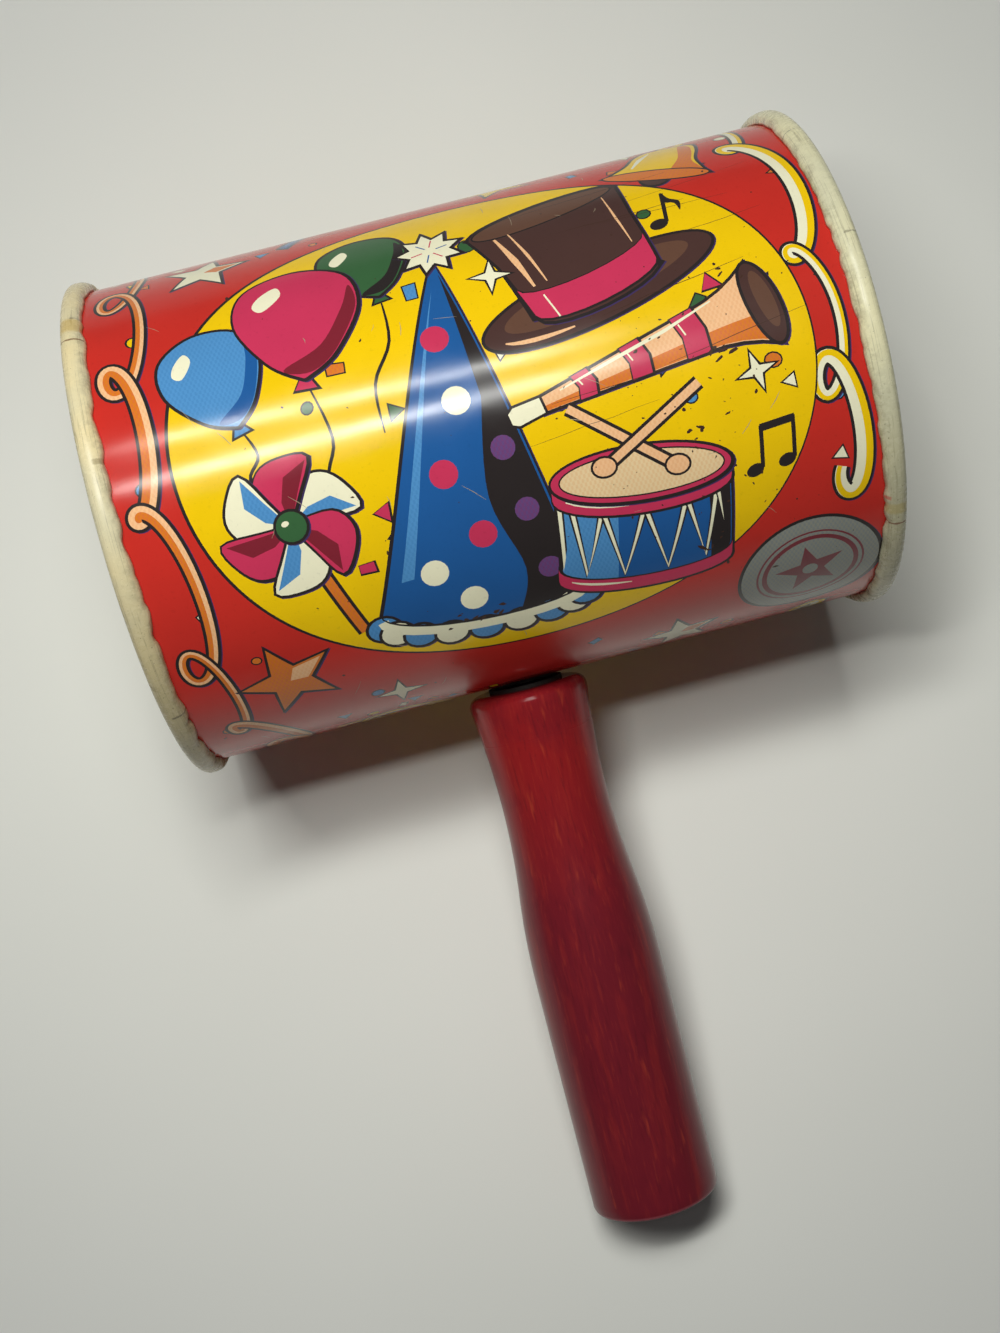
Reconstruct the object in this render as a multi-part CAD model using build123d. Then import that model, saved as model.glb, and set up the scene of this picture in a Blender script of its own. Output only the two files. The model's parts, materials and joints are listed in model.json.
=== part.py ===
from build123d import *
import os
from math import asin, atan2, cos, degrees, hypot, pi, sin, tan

# A tin-can ratchet noisemaker: a closed tinplate can that whirls on a spindle held in
# a turned wooden handle, while a spring reed inside the can clacks over a wooden cog.
#
# It is modelled round the can: the can's middle is the origin, X runs along the can and
# the handle points down -Z. "lie_down" then lays the finished pieces on a table, resting
# on both rims and on the handle's butt, as the toy lies when it is put down.
# All sizes are in millimetres.

# ---- tinplate can ----
CAN_LENGTH = 101.6          # over both rims
BODY_DIA = 69.0             # outside of the rolled wall
TIN = 0.3                   # tinplate
SEAM_WIDTH = 4.0            # lock seam, folded to the inside of the wall
SEAM_LAYERS = 2             # layers of tin that the seam adds
FIT = 0.05                  # between pressed pieces that are pushed together

# ---- end caps ----
BEAD_PROUD = 1.65           # the curled rim stands out of the wall by this much
BEAD_WIDTH = 3.2            # and covers this much of its length
CURL_COUNT = 8              # number of flats round the curl, a multiple of four; a true curve is heavy
RECESS = 3.0                # from the rim's end down to the cap's flat
CAP_CORNER = 0.9            # bend between the flat and the recess's wall
RING_RADIUS = 26.0          # stiffening ring pressed out of the flat
RING_WIDTH = 5.0
RING_HEIGHT = 0.8

# ---- turned handle ----
HANDLE_LENGTH = 80.0
HANDLE_OFFSET = -2.6        # the handle stands this far off the can's middle
HEAD_RADIUS = 8.85          # under the rounded edge at its top
HEAD_ROUND = 2.4
WAIST_RADIUS = 7.9
WAIST_DROP = 17.0           # from the top down to the waist
GRIP_RADIUS = 9.6
GRIP_DROP = 44.0            # from the top down to where the straight grip begins
BUTT_CHAMFER = 0.4

# ---- spindle and its bearings ----
SPINDLE_RADIUS = 1.6
SPINDLE_GRIP = 32.0         # length held in the handle
SPINDLE_POINT = 4.0         # length of its point
NAIL_HEAD_RADIUS = 3.6
NAIL_HEAD_HEIGHT = 1.0
RUNNING_GAP = 0.08          # round the spindle
END_PLAY = 0.1              # along the spindle, at each face that turns on another
DISH_DEPTH = 1.2            # the far wall is dished so that the nail's head lies flush
DISH_FLOOR_RADIUS = 4.2
DISH_RIM_RADIUS = 5.6
EYELET_WALL = 0.4
EYELET_FLANGE = 0.3
EYELET_FLANGE_RADIUS = 4.0
WASHER_RADIUS = 5.5
WASHER_HEIGHT = 0.5

# ---- ratchet wheel ----
TEETH = 12
TIP_RADIUS = 10.0
ROOT_RADIUS = 7.8
TIP_LAND = 0.8              # flat across the top of a tooth
ROOT_LAND = 0.6             # flat at the bottom of a gap
WHEEL_HEIGHT = 8.0
HUB_RADIUS = 4.6
HUB_HEIGHT = 5.5
WHEEL_PIN_RADIUS = 0.75

# ---- spring reed and its bracket ----
REED_THICKNESS = 0.4
REED_WIDTH = 7.2
NOSE_RADIUS = 0.9           # rounded nose that drops into a gap of the cog
NOSE_GAP = 0.4              # from the nose to the bottom of the gap
REED_LIFT = 0.6             # the reed's straight run clears the teeth by this much
REED_BEND = 1.2             # bend from the straight run into the nose
BRACKET_THICKNESS = 0.8
BRACKET_WIDTH = 9.0
BRACKET_LEG = 9.5           # along the can
BRACKET_FOOT = 11.0         # across the cap
BRACKET_BEND = 1.6
RIVET_RADIUS = 0.9
RIVET_HEAD_RADIUS = 1.7
RIVET_HEAD_HEIGHT = 0.6
RIVET_PITCH = 4.4

# ---- sizes that follow ----
body_radius = BODY_DIA / 2
wall_radius = body_radius - TIN                 # inside of the wall
bead_radius = body_radius + BEAD_PROUD
can_end = CAN_LENGTH / 2
recess_radius = wall_radius - FIT - TIN         # open radius of a cap's recess
curl_radius = (bead_radius - recess_radius) / 2
shell_end = can_end - curl_radius               # the wall ends inside the curl
cap_flat = can_end - RECESS                     # outside of a cap's flat
cap_back = cap_flat - TIN                       # inside of it

flange_top = body_radius + EYELET_FLANGE
washer_face = flange_top + END_PLAY
handle_top = washer_face + WASHER_HEIGHT
handle_butt = handle_top + HANDLE_LENGTH
spindle_tip = handle_top + SPINDLE_GRIP
eyelet_bore = SPINDLE_RADIUS + RUNNING_GAP
eyelet_radius = eyelet_bore + EYELET_WALL
dish_floor = body_radius - DISH_DEPTH
head_seat = dish_floor + END_PLAY

reed_face = TIP_RADIUS + REED_LIFT              # side of the reed that faces the cog
reed_back = reed_face + REED_THICKNESS
bracket_back = reed_back + BRACKET_THICKNESS
leg_end = -cap_back + BRACKET_LEG               # the reed bends from this edge
rivet_row = -cap_back + BRACKET_THICKNESS + (BRACKET_LEG - BRACKET_THICKNESS) / 2

# How the toy lies: the rims and the butt's lower edge touch the table together.
butt_edge = handle_butt - BUTT_CHAMFER          # this edge touches
slope = asin(bead_radius / hypot(butt_edge, GRIP_RADIUS)) - atan2(GRIP_RADIUS, butt_edge)
near_end = handle_butt * cos(slope) + (GRIP_RADIUS - BUTT_CHAMFER) * sin(slope)
lie_down = Pos(0, (near_end - bead_radius) / 2, bead_radius) * Rot(X=degrees(slope) - 90)


def along_can(radius, length):
    """A round bar along the can, centred."""
    return Rot(Y=90) * Cylinder(radius, length)


def on_spindle(radius, low, high):
    """A round bar on the spindle's line between two distances from the can's middle."""
    bar = Cylinder(radius, high - low, align=(Align.CENTER, Align.CENTER, Align.MIN))
    return Pos(HANDLE_OFFSET, 0, low) * bar


def turned(section):
    """A section drawn beside the spindle's line, turned about it."""
    return Pos(HANDLE_OFFSET, 0, 0) * revolve(section, Axis.Z)


def strip(line, thickness, width, side):
    """A flat strip that follows a line across the spindle, centred on the can's axis."""
    section = make_face(offset(line, thickness, side=side))
    return extrude(section, width / 2, both=True)


# ---- can ----
def dish(floor_radius, rim_radius, floor):
    """The dished well for the nail's head, drawn up past the wall's crown."""
    grow = (rim_radius - floor_radius) / DISH_DEPTH
    height = 2 * DISH_DEPTH
    well = Cone(
        floor_radius,
        floor_radius + grow * height,
        height,
        align=(Align.CENTER, Align.CENTER, Align.MIN),
    )
    return Pos(HANDLE_OFFSET, 0, floor) * well


def make_can_shell():
    """Rolled wall with an inside lock seam, a dish for the nail's head and two holes."""
    slant = hypot(DISH_DEPTH, DISH_RIM_RADIUS - DISH_FLOOR_RADIUS) / DISH_DEPTH
    lean = (DISH_RIM_RADIUS - DISH_FLOOR_RADIUS) / DISH_DEPTH
    well = dish(DISH_FLOOR_RADIUS, DISH_RIM_RADIUS, dish_floor)
    back = dish(
        DISH_FLOOR_RADIUS + TIN * (slant - lean),
        DISH_RIM_RADIUS + TIN * (slant - lean),
        dish_floor - TIN,
    )
    length = 2 * shell_end
    wall = (along_can(body_radius, length) - well) - (along_can(wall_radius, length) - back)
    seam_length = 2 * (cap_back - TIN)
    fold = along_can(wall_radius + FIT, seam_length)
    fold -= along_can(wall_radius - SEAM_LAYERS * TIN, seam_length)
    fold &= Pos(0, wall_radius, 0) * Box(seam_length, SEAM_WIDTH, SEAM_WIDTH)
    shell = wall + fold
    shell -= on_spindle(eyelet_radius, -body_radius - TIN, -wall_radius / 2)
    shell -= on_spindle(eyelet_bore, wall_radius / 2, body_radius)
    return shell


def rolled_edge(inset, flats):
    """The curl over the wall's end and down to the hem, set in from the outside of the tin."""
    hem_radius = body_radius + FIT
    curl = curl_radius - inset
    reach = BEAD_WIDTH - curl_radius - inset
    rise = bead_radius - hem_radius - inset
    over = [-pi / 2 + pi * k / flats for k in range(flats)]
    down = [pi / 2 + pi * k / flats for k in range(flats // 2 + 1)]
    return [
        *((shell_end + curl * cos(turn), bead_radius - curl_radius + curl * sin(turn)) for turn in over),
        *((shell_end + reach * cos(turn), hem_radius + rise * sin(turn)) for turn in down),
    ]


def make_right_cap():
    """Pressed cap: ringed flat, recess, and the curl that grips the wall's end."""
    ring_low = RING_RADIUS - RING_WIDTH / 2
    ring_high = RING_RADIUS + RING_WIDTH / 2
    flat = [
        (cap_flat, 0),
        (cap_flat, ring_low),
        (cap_flat + RING_HEIGHT, ring_low + RING_HEIGHT),
        (cap_flat + RING_HEIGHT, ring_high - RING_HEIGHT),
        (cap_flat, ring_high),
    ]
    bend = [(cap_flat, recess_radius - CAP_CORNER), (cap_flat + CAP_CORNER, recess_radius)]
    outside = [*flat, *bend, *rolled_edge(0, CURL_COUNT)]
    back = [(x - TIN, radius) for x, radius in flat]
    back_bend = [(x - TIN, radius + TIN) for x, radius in bend]
    inside = [*back, *back_bend, *rolled_edge(TIN, CURL_COUNT // 2)]
    section = Polyline(*outside, *reversed(inside), close=True)
    return revolve(make_face(section), Axis.X)


# ---- spindle, eyelet and washer ----
def make_spindle():
    """Nail from the far wall into the handle, with a hole for the wheel's pin."""
    shank = on_spindle(SPINDLE_RADIUS, -spindle_tip + SPINDLE_POINT, head_seat)
    head = on_spindle(NAIL_HEAD_RADIUS, head_seat, head_seat + NAIL_HEAD_HEIGHT)
    point = Pos(HANDLE_OFFSET, 0, -spindle_tip) * Cone(
        0, SPINDLE_RADIUS, SPINDLE_POINT, align=(Align.CENTER, Align.CENTER, Align.MIN)
    )
    return shank + head + point - pin_bar(2 * NAIL_HEAD_RADIUS)


def pin_bar(length):
    """The wheel pin's round bar, through the middle of the wheel's hub."""
    middle = WHEEL_HEIGHT / 2 + HUB_HEIGHT / 2
    return Pos(HANDLE_OFFSET, 0, middle) * along_can(WHEEL_PIN_RADIUS, length)


def make_bearing_eyelet():
    """Eyelet in the handle's side of the wall, its flanges set down on the curved tin."""
    blank = on_spindle(EYELET_FLANGE_RADIUS, -body_radius - TIN, -wall_radius / 2)
    outer = blank & (along_can(flange_top, BODY_DIA) - along_can(body_radius, BODY_DIA))
    inner = blank & (along_can(wall_radius, BODY_DIA) - along_can(wall_radius - EYELET_FLANGE, BODY_DIA))
    barrel = on_spindle(eyelet_radius, -body_radius - TIN, -wall_radius / 2)
    barrel &= along_can(flange_top, BODY_DIA) - along_can(wall_radius - EYELET_FLANGE, BODY_DIA)
    bore = on_spindle(eyelet_bore, -handle_top, 0)
    return outer + inner + barrel - bore


def make_thrust_washer():
    """Flat washer on the handle's top, which the eyelet turns on."""
    disc = on_spindle(WASHER_RADIUS, -handle_top, -washer_face)
    return disc - on_spindle(SPINDLE_RADIUS, -handle_top, -washer_face)


# ---- handle ----
def make_wood_handle(spindle):
    """Turned handle: rounded head, waist, swell and a straight grip with a flat butt."""
    head = (HEAD_RADIUS, -handle_top - HEAD_ROUND)
    waist = (WAIST_RADIUS, -handle_top - WAIST_DROP)
    grip = (GRIP_RADIUS, -handle_top - GRIP_DROP)
    sway = ((waist[0] + grip[0]) / 2, (waist[1] + grip[1]) / 2)
    butt_rim = GRIP_RADIUS - BUTT_CHAMFER
    with BuildLine() as profile:
        neck = TangentArc(waist, head, tangent=(0, 1))
        corner = neck @ 1 + (neck % 1) * (HEAD_ROUND / (neck % 1).Y)
        top = Bezier(neck @ 1, corner, corner - (HEAD_ROUND, 0))
        Polyline(top @ 1, (0, -handle_top), (0, -handle_butt), (butt_rim, -handle_butt))
        Polyline((butt_rim, -handle_butt), (GRIP_RADIUS, -butt_edge), grip)
        inward = TangentArc(waist, sway, tangent=(0, -1))
        TangentArc(sway, grip, tangent=inward % 1)
    return turned(Plane.XZ * make_face(profile.line)) - spindle


# ---- cog ----
def round_the_cog(radius, angle):
    """A point beside the spindle's line, by its radius and its angle from -Y."""
    return (radius * sin(angle), -radius * cos(angle))


def make_ratchet_wheel():
    """Cog with even teeth and a pinned hub; one of its gaps faces the reed."""
    pitch = 2 * pi / TEETH
    tip_half = TIP_LAND / 2 / TIP_RADIUS
    root_half = ROOT_LAND / 2 / ROOT_RADIUS
    outline = []
    for tooth in range(TEETH):
        gap = tooth * pitch
        outline.append(round_the_cog(ROOT_RADIUS, gap - root_half))
        outline.append(round_the_cog(ROOT_RADIUS, gap + root_half))
        outline.append(round_the_cog(TIP_RADIUS, gap + pitch / 2 - tip_half))
        outline.append(round_the_cog(TIP_RADIUS, gap + pitch / 2 + tip_half))
    toothed = extrude(make_face(Polyline(*outline, close=True)), WHEEL_HEIGHT / 2, both=True)
    wheel = Pos(HANDLE_OFFSET, 0, 0) * toothed
    wheel += on_spindle(HUB_RADIUS, WHEEL_HEIGHT / 2, WHEEL_HEIGHT / 2 + HUB_HEIGHT)
    wheel -= on_spindle(SPINDLE_RADIUS, -WHEEL_HEIGHT, WHEEL_HEIGHT + HUB_HEIGHT)
    return wheel - pin_bar(4 * HUB_RADIUS)


# ---- reed ----
def nose_line():
    """The cog's side of the free reed: a straight run, then a V that enters one gap."""
    pitch = 2 * pi / TEETH
    tip = round_the_cog(TIP_RADIUS, pitch / 2 - TIP_LAND / 2 / TIP_RADIUS)
    flank = atan2(tip[0] - ROOT_LAND / 2, -tip[1] - ROOT_RADIUS)
    apex = ROOT_RADIUS + NOSE_GAP + NOSE_RADIUS - NOSE_RADIUS / sin(flank)
    reach = (reed_face - apex) * tan(flank)
    return FilletPolyline(
        (leg_end, -reed_face),
        (HANDLE_OFFSET - reach, -reed_face),
        (HANDLE_OFFSET, -apex),
        (HANDLE_OFFSET + reach, -reed_face),
        radius=(REED_BEND, NOSE_RADIUS),
    )


def make_reed():
    """Free part of the spring strip, from the bracket's edge to its nose."""
    return strip(nose_line(), REED_THICKNESS, REED_WIDTH, Side.RIGHT)


def make_reed_root():
    """Clamped part of the same strip, between the bracket's bend and its edge."""
    start = -cap_back + BRACKET_THICKNESS + BRACKET_BEND
    run = Line((start, -reed_face), (leg_end, -reed_face))
    return strip(run, REED_THICKNESS, REED_WIDTH, Side.RIGHT) - make_reed_rivets()


def make_reed_bracket():
    """Bent strip: its foot is welded to the left cap and its leg carries the reed."""
    outer_bend = FilletPolyline(
        (leg_end, -bracket_back),
        (-cap_back, -bracket_back),
        (-cap_back, BRACKET_FOOT - bracket_back),
        radius=BRACKET_BEND + BRACKET_THICKNESS,
    )
    bracket = strip(outer_bend, BRACKET_THICKNESS, BRACKET_WIDTH, Side.RIGHT)
    return bracket - make_reed_rivets()


def make_reed_rivets():
    """Two rivets, headed on both sides of the bracket's leg and the reed's root."""
    grip = BRACKET_THICKNESS + REED_THICKNESS
    low = (Align.CENTER, Align.CENTER, Align.MAX)
    high = (Align.CENTER, Align.CENTER, Align.MIN)
    rivet = Cylinder(RIVET_RADIUS, grip, align=high)
    rivet += Cylinder(RIVET_HEAD_RADIUS, RIVET_HEAD_HEIGHT, align=low)
    rivet += Pos(0, 0, grip) * Cylinder(RIVET_HEAD_RADIUS, RIVET_HEAD_HEIGHT, align=high)
    seat = Pos(rivet_row, -reed_face, 0) * Rot(X=90)
    return [Pos(0, 0, side * RIVET_PITCH / 2) * seat * rivet for side in (-1, 1)]


def build():
    """Every piece by its name, standing round the can's middle."""
    spindle = make_spindle()
    right_cap = make_right_cap()
    return {
        "wood_handle": make_wood_handle(spindle),
        "spindle": spindle,
        "thrust_washer": make_thrust_washer(),
        "ratchet_wheel": make_ratchet_wheel(),
        "wheel_pin": pin_bar(2 * HUB_RADIUS),
        "can_shell": make_can_shell(),
        "right_end_cap": right_cap,
        "left_end_cap": mirror(right_cap, Plane.YZ),
        "bearing_eyelet": make_bearing_eyelet(),
        "reed_bracket": make_reed_bracket(),
        "reed_rivets": Compound(make_reed_rivets()),
        "reed_root": make_reed_root(),
        "reed": make_reed(),
    }


os.makedirs("parts", exist_ok=True)
for name, piece in build().items():
    export_step(lie_down * piece, f"parts/{name}.step")
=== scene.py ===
import json
from math import asin, atan2, ceil, cos, hypot, pi, radians, sin, sqrt
from random import Random

import bmesh
import bpy
from mathutils import Matrix, Quaternion, Vector
from mathutils.geometry import delaunay_2d_cdt


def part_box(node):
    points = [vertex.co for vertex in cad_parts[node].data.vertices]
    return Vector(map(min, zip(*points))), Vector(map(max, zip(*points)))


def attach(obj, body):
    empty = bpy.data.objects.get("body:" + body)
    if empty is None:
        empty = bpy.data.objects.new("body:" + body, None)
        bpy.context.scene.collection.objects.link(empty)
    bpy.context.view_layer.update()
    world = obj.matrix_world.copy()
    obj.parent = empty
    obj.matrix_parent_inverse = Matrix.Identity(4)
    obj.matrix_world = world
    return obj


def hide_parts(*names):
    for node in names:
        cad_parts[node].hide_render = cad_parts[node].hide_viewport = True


# A tin-can ratchet noisemaker with a turned handle, lying on a pale table.
# The print on the can is drawn flat, in millimetres, and then wrapped round the wall.
# Sizes are in millimetres and become metres when a mesh is made.
MM = 0.001

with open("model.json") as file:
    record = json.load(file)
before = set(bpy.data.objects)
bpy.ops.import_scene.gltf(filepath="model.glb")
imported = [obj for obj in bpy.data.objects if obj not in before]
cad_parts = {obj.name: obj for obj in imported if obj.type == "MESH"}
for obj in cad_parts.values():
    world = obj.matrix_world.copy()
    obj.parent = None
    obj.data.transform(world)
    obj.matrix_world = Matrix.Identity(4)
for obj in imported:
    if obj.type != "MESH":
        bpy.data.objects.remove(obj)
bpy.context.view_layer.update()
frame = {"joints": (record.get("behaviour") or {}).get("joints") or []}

# ---- the frame: the can's middle, its radius and the spindle's line ----
shell_low, shell_high = (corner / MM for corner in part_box("can_shell"))
cap_low, cap_high = (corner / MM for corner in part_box("right_end_cap"))
CAN_MIDDLE = (shell_low + shell_high) / 2
WALL_RADIUS = (shell_high.z - shell_low.z) / 2  # outside of the rolled wall
WALL_END = shell_high.x  # the wall ends inside the curled rim
BEAD_RADIUS = (cap_high.z - cap_low.z) / 2
CAN_END = cap_high.x
can_spin = next(joint for joint in frame["joints"] if joint["name"] == "can_spin")
SPINDLE = Vector(can_spin["axis"]).normalized()
SPINDLE_X = (Vector(can_spin["pos_m"]) / MM).x
ALONG = Vector((1, 0, 0))
ACROSS = SPINDLE.cross(ALONG)
SPINDLE_ANGLE = atan2(SPINDLE.y, SPINDLE.z)  # round the can, from its top to the far side
TIN = 0.3


# ---- shaders ----
def rgb(red, green, blue):
    """A colour given as it shows on a screen, as the linear values that shaders take."""
    def linear(value):
        share = value / 255
        return share / 12.92 if share <= 0.04045 else ((share + 0.055) / 1.055) ** 2.4
    return (linear(red), linear(green), linear(blue), 1)


def darker(colour, share):
    return tuple(value * share for value in colour[:3]) + (1,)


class Nodes:
    """The node tree of a material or a world."""

    def __init__(self, owner):
        owner.use_nodes = True
        self.tree = owner.node_tree

    def link(self, output, name, socket):
        """Links an output to a node that is there from the start."""
        self.tree.links.new(output, self.tree.nodes[name].inputs[socket])

    def node(self, kind, inputs=None, **settings):
        """Adds a node, fills its sockets with plain values or outputs, and gives its own outputs."""
        made = self.tree.nodes.new("ShaderNode" + kind)
        for name, value in settings.items():
            setattr(made, name, value)
        for socket, value in (inputs or {}).items():
            if isinstance(value, bpy.types.NodeSocket):
                self.tree.links.new(value, made.inputs[socket])
            else:
                made.inputs[socket].default_value = value
        return made.outputs


class Shader(Nodes):
    """One material's nodes; shade is its colour, with the stains that it has so far."""

    def __init__(self, name, colour, roughness, **settings):
        self.material = bpy.data.materials.new(name)
        super().__init__(self.material)
        self.material.diffuse_color = self.shade = colour
        for socket, value in dict(settings, Base_Color=colour, Roughness=roughness).items():
            self.tree.nodes["Principled BSDF"].inputs[socket.replace("_", " ")].default_value = value

    def place(self, attribute=None, scale=(1, 1, 1)):
        """Object coordinates in millimetres, or a named attribute, stretched by a scale."""
        if attribute:
            source, unit = self.node("Attribute", attribute_name=attribute)["Vector"], 1
        else:
            source, unit = self.node("TexCoord")["Object"], 1 / MM
        return self.node("Mapping", {"Vector": source, "Scale": [unit * share for share in scale]})["Vector"]

    def axes(self, place):
        return self.node("SeparateXYZ", {"Vector": place})

    def noise(self, place, scale, detail=3, roughness=0.55):
        return self.node("TexNoise", {"Vector": place, "Scale": scale, "Detail": detail,
                "Roughness": roughness})["Fac"]

    def math(self, operation, first, second=0):
        return self.node("Math", {0: first, 1: second}, operation=operation)[0]

    def times(self, first, second):
        return self.math("MULTIPLY", first, second)

    def step(self, value, low, high):
        """0 below low, 1 above high and a smooth slope between; low may be the greater."""
        return self.node("MapRange", {"Value": value, "From Min": min(low, high), "From Max": max(low, high),
                "To Min": int(low > high), "To Max": int(low < high)},
                interpolation_type="SMOOTHSTEP")["Result"]

    def between(self, share, low, high):
        """A number from low to high."""
        return self.node("MapRange", {"Value": share, "To Min": low, "To Max": high})["Result"]

    def mix(self, share, first, second):
        return self.node("Mix", {0: share, 6: first, 7: second}, data_type="RGBA")[2]

    def stain(self, tint, share, mask):
        """Lays a tint over the shade where the mask is 1."""
        self.shade = self.mix(self.times(mask, share), self.shade, tint)

    def finish(self, roughness, height, depth, strength):
        """Links the shade, a roughness and a relief, whose depth is in millimetres."""
        relief = self.node("Bump", {"Height": height, "Distance": depth * MM, "Strength": strength})
        for output, socket in ((self.shade, "Base Color"), (roughness, "Roughness"), (relief[0], "Normal")):
            self.link(output, "Principled BSDF", socket)
        return self.material


# ---- drawing flat: outlines are lists of (x, y) in millimetres ----
LINE = 0.42  # the black plate's outlines
FINE_LINE = 0.35  # up to this width an outline has no violet edge
shapes = []  # (ink, outline) in printing order, over the red ground

# How far each plate was off when it was printed.
PLATE_SHIFT = {"yellow": (0.10, -0.06), "magenta": (-0.10, 0.08), "blue": (0.12, 0.05)}
FRINGE_SHIFT = (0.17, -0.15)  # the violet edge that shows beside the black


def around(items):
    """Each item with the one after it, and the last with the first."""
    return zip(items, items[1:] + items[:1])


def area_of(outline):
    """Twice an outline's area, below 0 where it runs clockwise."""
    return sum(a[0] * b[1] - b[0] * a[1] for a, b in zip(outline[-1:] + outline, outline))


def ray(reach, turn, x=0, y=0):
    return (x + reach * cos(turn), y + reach * sin(turn))


def oval(across, up=None, steps=None, x=0, y=0):
    """An ellipse by its half axes and its middle."""
    up = across if up is None else up
    steps = steps or max(10, int(14 * sqrt(max(across, up))))
    turns = [2 * pi * k / steps for k in range(steps)]
    return [(x + across * cos(turn), y + up * sin(turn)) for turn in turns]


def arc(across, up, start, end, steps, y=0):
    """Part of an ellipse, between two angles in degrees."""
    turns = [radians(start + (end - start) * k / steps) for k in range(steps + 1)]
    return [(across * cos(turn), y + up * sin(turn)) for turn in turns]


def star(outer, inner, tips=5):
    """A star with one tip straight up."""
    return [ray(inner if k % 2 else outer, pi / 2 + pi * k / tips) for k in range(2 * tips)]


def through(points, closed=True, steps=6):
    """A smooth curve through a few points."""
    last, curve = len(points) - 1, []
    for k in range(last + closed):
        near = range(k - 1, k + 3)
        near = [j % (last + 1) for j in near] if closed else [min(max(j, 0), last) for j in near]
        a, b, c, d = (Vector(points[j]) for j in near)
        for j in range(steps):
            t = j / steps
            bend = (2 * a - 5 * b + 4 * c - d) * t * t + (3 * b - a - 3 * c + d) * t ** 3
            curve.append(tuple((2 * b + (c - a) * t + bend) / 2))
    return curve if closed else curve + [tuple(points[-1])]


def shifted(points, x, y):
    return [(px + x, py + y) for px, py in points]


def leans(path):
    """Unit normals to the left of an open path, one at each point."""
    found = []
    for before, after in zip(path[:1] + path, path[1:] + path[-1:]):
        dx, dy = after[0] - before[0], after[1] - before[1]
        length = hypot(dx, dy) or 1
        found.append((-dy / length, dx / length))
    return found


def ribbon(path, left, right, start=0):
    """The strip beside an open path; left and right are widths at each of its points from start on."""
    near = list(zip(path, leans(path)))[start:]
    one = [(p[0] + n[0] * w, p[1] + n[1] * w) for (p, n), w in zip(near, left)]
    other = [(p[0] - n[0] * w, p[1] - n[1] * w) for (p, n), w in zip(near, right)]
    return one + other[::-1]


def grown(points, by):
    """A closed outline moved outwards, with its corners kept short."""
    way = 1 if area_of(points) > 0 else -1
    moved = []
    for corners in zip(points[-1:] + points, points, points[1:] + points[:1]):
        a, b, c = map(Vector, corners)
        first, second = (b - a).normalized(), (c - b).normalized()
        one, two = Vector((first.y, -first.x)) * way, Vector((second.y, -second.x)) * way
        middle = (one + two).normalized() if (one + two).length > 1e-6 else one
        moved.append(tuple(b + middle * (by / max(middle.dot(one), 0.45))))
    return moved


class Pen:
    """Draws at a place on the sheet, turned by some degrees and at some size."""

    def __init__(self, x=0, y=0, turn=0, size=1):
        self.at, self.turn, self.size = (x, y), radians(turn), size

    def place(self, points):
        c, s = cos(self.turn) * self.size, sin(self.turn) * self.size
        return [(self.at[0] + c * x - s * y, self.at[1] + s * x + c * y) for x, y in points]

    def fill(self, ink, points):
        shapes.append((ink, shifted(self.place(points), *PLATE_SHIFT.get(ink, (0, 0)))))

    def inked(self, ink, points, line=LINE):
        """A filled shape with a black outline."""
        edge = grown(self.place(points), line)
        if line > FINE_LINE:
            shapes.append(("fringe", shifted(edge, *FRINGE_SHIFT)))
        shapes.append(("black", edge))
        self.fill(ink, points)

    def stroke(self, points, ink="black", width=LINE, taper=True):
        """A brush stroke along an open path, thin at both ends."""
        last = len(points) - 1
        swell = [sin(pi * (0.12 + 0.76 * k / last)) if taper else 1 for k in range(last + 1)]
        half = [width / 2 * share / self.size for share in swell]
        self.fill(ink, ribbon(points, half, half))

    def rod(self, points, ink, outer, inner):
        """An even stroke with a black edge."""
        self.stroke(points, "black", outer, False)
        self.stroke(points, ink, inner, False)


def band(pen, path, ink, shade, width):
    """A paper streamer laid along a path; where it crosses itself the later run lies on top."""
    last, run = len(path) - 1, 4
    half = [width / 2 * (0.72 + 0.28 * sin(5.1 * k / last * pi)) for k in range(last + 1)]

    def edge(start, line):
        wide = [w + line for w in half[start:start + run + 1]]
        return pen.place(ribbon(path, wide, wide, start))

    for start in range(0, last, run):
        shapes.append(("fringe", shifted(edge(start, LINE * 0.9), *FRINGE_SHIFT)))
    for start in range(0, last, run):
        shapes.append(("black", edge(start, LINE)))
        own = half[start:start + run + 1]
        pen.fill(ink, ribbon(path, own, own, start))
        back = max(start - 1, 0)
        own = half[back:start + run + 1]
        pen.fill(shade, ribbon(path, own, [-0.1 * w for w in own], back))


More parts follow.
